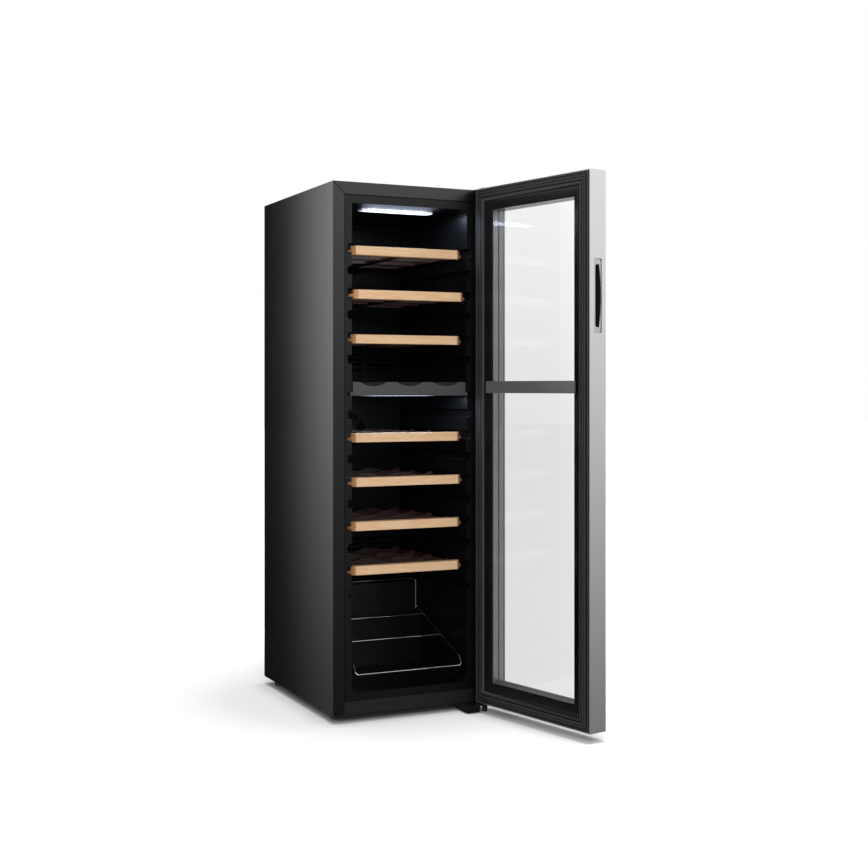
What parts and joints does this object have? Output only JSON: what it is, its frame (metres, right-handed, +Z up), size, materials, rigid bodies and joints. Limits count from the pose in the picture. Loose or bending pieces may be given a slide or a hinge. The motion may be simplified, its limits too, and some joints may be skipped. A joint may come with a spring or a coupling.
{
  "type": "wine cooler",
  "caption": "Free-standing two-zone wine cooler with a glazed door, pull-out beech shelves, a wire bottle rack and levelling feet.",
  "frame": {"origin": "on the floor, in the plane of the four feet's soles, midway between the four feet", "axes": "+Z up, -Y out of the front towards the user, +X to the user's right, where the door is hinged"},
  "size_m": [0.4291, 0.7959, 1.106],
  "materials": {
    "black_painted_steel": "smooth satin black powder coat",
    "black_liner_plastic": "vacuum-formed black polystyrene, satin",
    "foam": "foamed polyurethane, sealed inside",
    "grey_divider_plastic": "satin grey moulding",
    "light_lens": "milky diffuser over white LEDs",
    "aluminium_fins": "bare rolled fins",
    "condenser_metal": "dark coated tube and fins",
    "black_plastic": "moulded black plastic",
    "white_plastic": "moulded white plastic",
    "black_rubber": "soft black extrusion",
    "screw_steel": "blackened steel",
    "brushed_frame_steel": "vertically brushed stainless steel",
    "door_plastic": "moulded black plastic, glossy bevel",
    "clear_glass": "clear flat glass",
    "tinted_glass": "lightly tinted ultraviolet-filtering glass",
    "spacer_aluminium": "bright folded spacer bar",
    "handle_metal": "satin anodised pressing",
    "panel_gloss_black": "gloss black touch window, blank",
    "rack_chrome": "bright chromed wire",
    "beech_wood": "planed light beech, fine lengthwise grain",
    "stained_wood": "dark stained wood"
  },
  "bodies": {
    "cabinet": {"outer_shell": "black_painted_steel", "bottom_rail": "black_painted_steel", "back_panel": "black_painted_steel", "machine_cover": "black_painted_steel", "base_pan": "black_painted_steel", "inner_liner": "black_liner_plastic", "insulation_foam": "foam", "zone_divider": "grey_divider_plastic", "upper_light": "light_lens", "lower_light": "light_lens", "upper_duct_cover": "black_liner_plastic", "lower_duct_cover": "black_liner_plastic", "upper_evaporator": "aluminium_fins", "lower_evaporator": "aluminium_fins", "upper_fan_motor": "black_plastic", "lower_fan_motor": "black_plastic", "compressor": "black_painted_steel", "condenser": "condenser_metal", "condenser_fan_motor": "black_plastic", "drip_tray": "black_plastic", "control_box": "white_plastic", "cord_gland": "black_rubber", "top_hinge": "black_painted_steel", "bottom_hinge": "black_painted_steel", "hinge_screws": "screw_steel"},
    "door": {"door_frame": "brushed_frame_steel", "door_inner_frame": "door_plastic", "outer_glass": "tinted_glass", "middle_glass": "clear_glass", "inner_glass": "clear_glass", "glazing_spacers": "spacer_aluminium", "door_gasket": "black_rubber", "zone_seal_bar": "black_rubber", "handle_trim": "handle_metal", "hinge_bushes": "white_plastic", "door_stop": "black_plastic", "touch_panel": "panel_gloss_black"},
    "shelf_1": {"shelf_1_front": "beech_wood", "shelf_1_deck": "stained_wood"},
    "shelf_2": {"shelf_2_front": "beech_wood", "shelf_2_deck": "stained_wood"},
    "shelf_3": {"shelf_3_front": "beech_wood", "shelf_3_deck": "stained_wood"},
    "shelf_4": {"shelf_4_front": "beech_wood", "shelf_4_deck": "stained_wood"},
    "shelf_5": {"shelf_5_front": "beech_wood", "shelf_5_deck": "stained_wood"},
    "shelf_6": {"shelf_6_front": "beech_wood", "shelf_6_deck": "stained_wood"},
    "shelf_7": {"shelf_7_front": "beech_wood", "shelf_7_deck": "stained_wood"},
    "bottle_rack": {"wire_rack": "rack_chrome"},
    "foot_front_left_body": {"foot_front_left": "black_plastic"},
    "foot_front_right_body": {"foot_front_right": "black_plastic"},
    "foot_rear_left_body": {"foot_rear_left": "black_plastic"},
    "foot_rear_right_body": {"foot_rear_right": "black_plastic"},
    "upper_fan_rotor_body": {"upper_fan_rotor": "black_plastic"},
    "lower_fan_rotor_body": {"lower_fan_rotor": "black_plastic"},
    "condenser_fan_rotor_body": {"condenser_fan_rotor": "black_plastic"}
  },
  "joints": [
    {"name": "door_hinge", "type": "hinge", "parent": "cabinet", "child": "door", "pos_m": [0.1597, -0.2555, 0.55], "axis": [0, 0, 1], "range_deg": [-102, 3]},
    {"name": "shelf_1_slide", "type": "slide", "parent": "cabinet", "child": "shelf_1", "axis": [0, -1, 0], "range_m": [0, 0.19]},
    {"name": "shelf_2_slide", "type": "slide", "parent": "cabinet", "child": "shelf_2", "axis": [0, -1, 0], "range_m": [-0.016, 0.174]},
    {"name": "shelf_3_slide", "type": "slide", "parent": "cabinet", "child": "shelf_3", "axis": [0, -1, 0], "range_m": [0, 0.19]},
    {"name": "shelf_4_slide", "type": "slide", "parent": "cabinet", "child": "shelf_4", "axis": [0, -1, 0], "range_m": [0, 0.19]},
    {"name": "shelf_5_slide", "type": "slide", "parent": "cabinet", "child": "shelf_5", "axis": [0, -1, 0], "range_m": [-0.004, 0.186]},
    {"name": "shelf_6_slide", "type": "slide", "parent": "cabinet", "child": "shelf_6", "axis": [0, -1, 0], "range_m": [0, 0.19]},
    {"name": "shelf_7_slide", "type": "slide", "parent": "cabinet", "child": "shelf_7", "axis": [0, -1, 0], "range_m": [0, 0.19]},
    {"name": "rack_lift", "type": "slide", "parent": "cabinet", "child": "bottle_rack", "axis": [0, 0, 1], "range_m": [0, 0.03]},
    {"name": "foot_front_left_screw", "type": "slide", "parent": "cabinet", "child": "foot_front_left_body", "axis": [0, 0, -1], "range_m": [-0.004, 0.006]},
    {"name": "foot_front_right_screw", "type": "slide", "parent": "cabinet", "child": "foot_front_right_body", "axis": [0, 0, -1], "range_m": [-0.004, 0.006]},
    {"name": "foot_rear_left_screw", "type": "slide", "parent": "cabinet", "child": "foot_rear_left_body", "axis": [0, 0, -1], "range_m": [-0.004, 0.006]},
    {"name": "foot_rear_right_screw", "type": "slide", "parent": "cabinet", "child": "foot_rear_right_body", "axis": [0, 0, -1], "range_m": [-0.004, 0.006]},
    {"name": "upper_fan_spin", "type": "hinge", "parent": "cabinet", "child": "upper_fan_rotor_body", "pos_m": [0, 0.119, 0.9794], "axis": [0, 1, 0], "continuous": true},
    {"name": "lower_fan_spin", "type": "hinge", "parent": "cabinet", "child": "lower_fan_rotor_body", "pos_m": [0, 0.119, 0.5858], "axis": [0, 1, 0], "continuous": true},
    {"name": "condenser_fan_spin", "type": "hinge", "parent": "cabinet", "child": "condenser_fan_rotor_body", "pos_m": [-0.1135, 0.1065, 0.079], "axis": [1, 0, 0], "continuous": true}
  ]
}
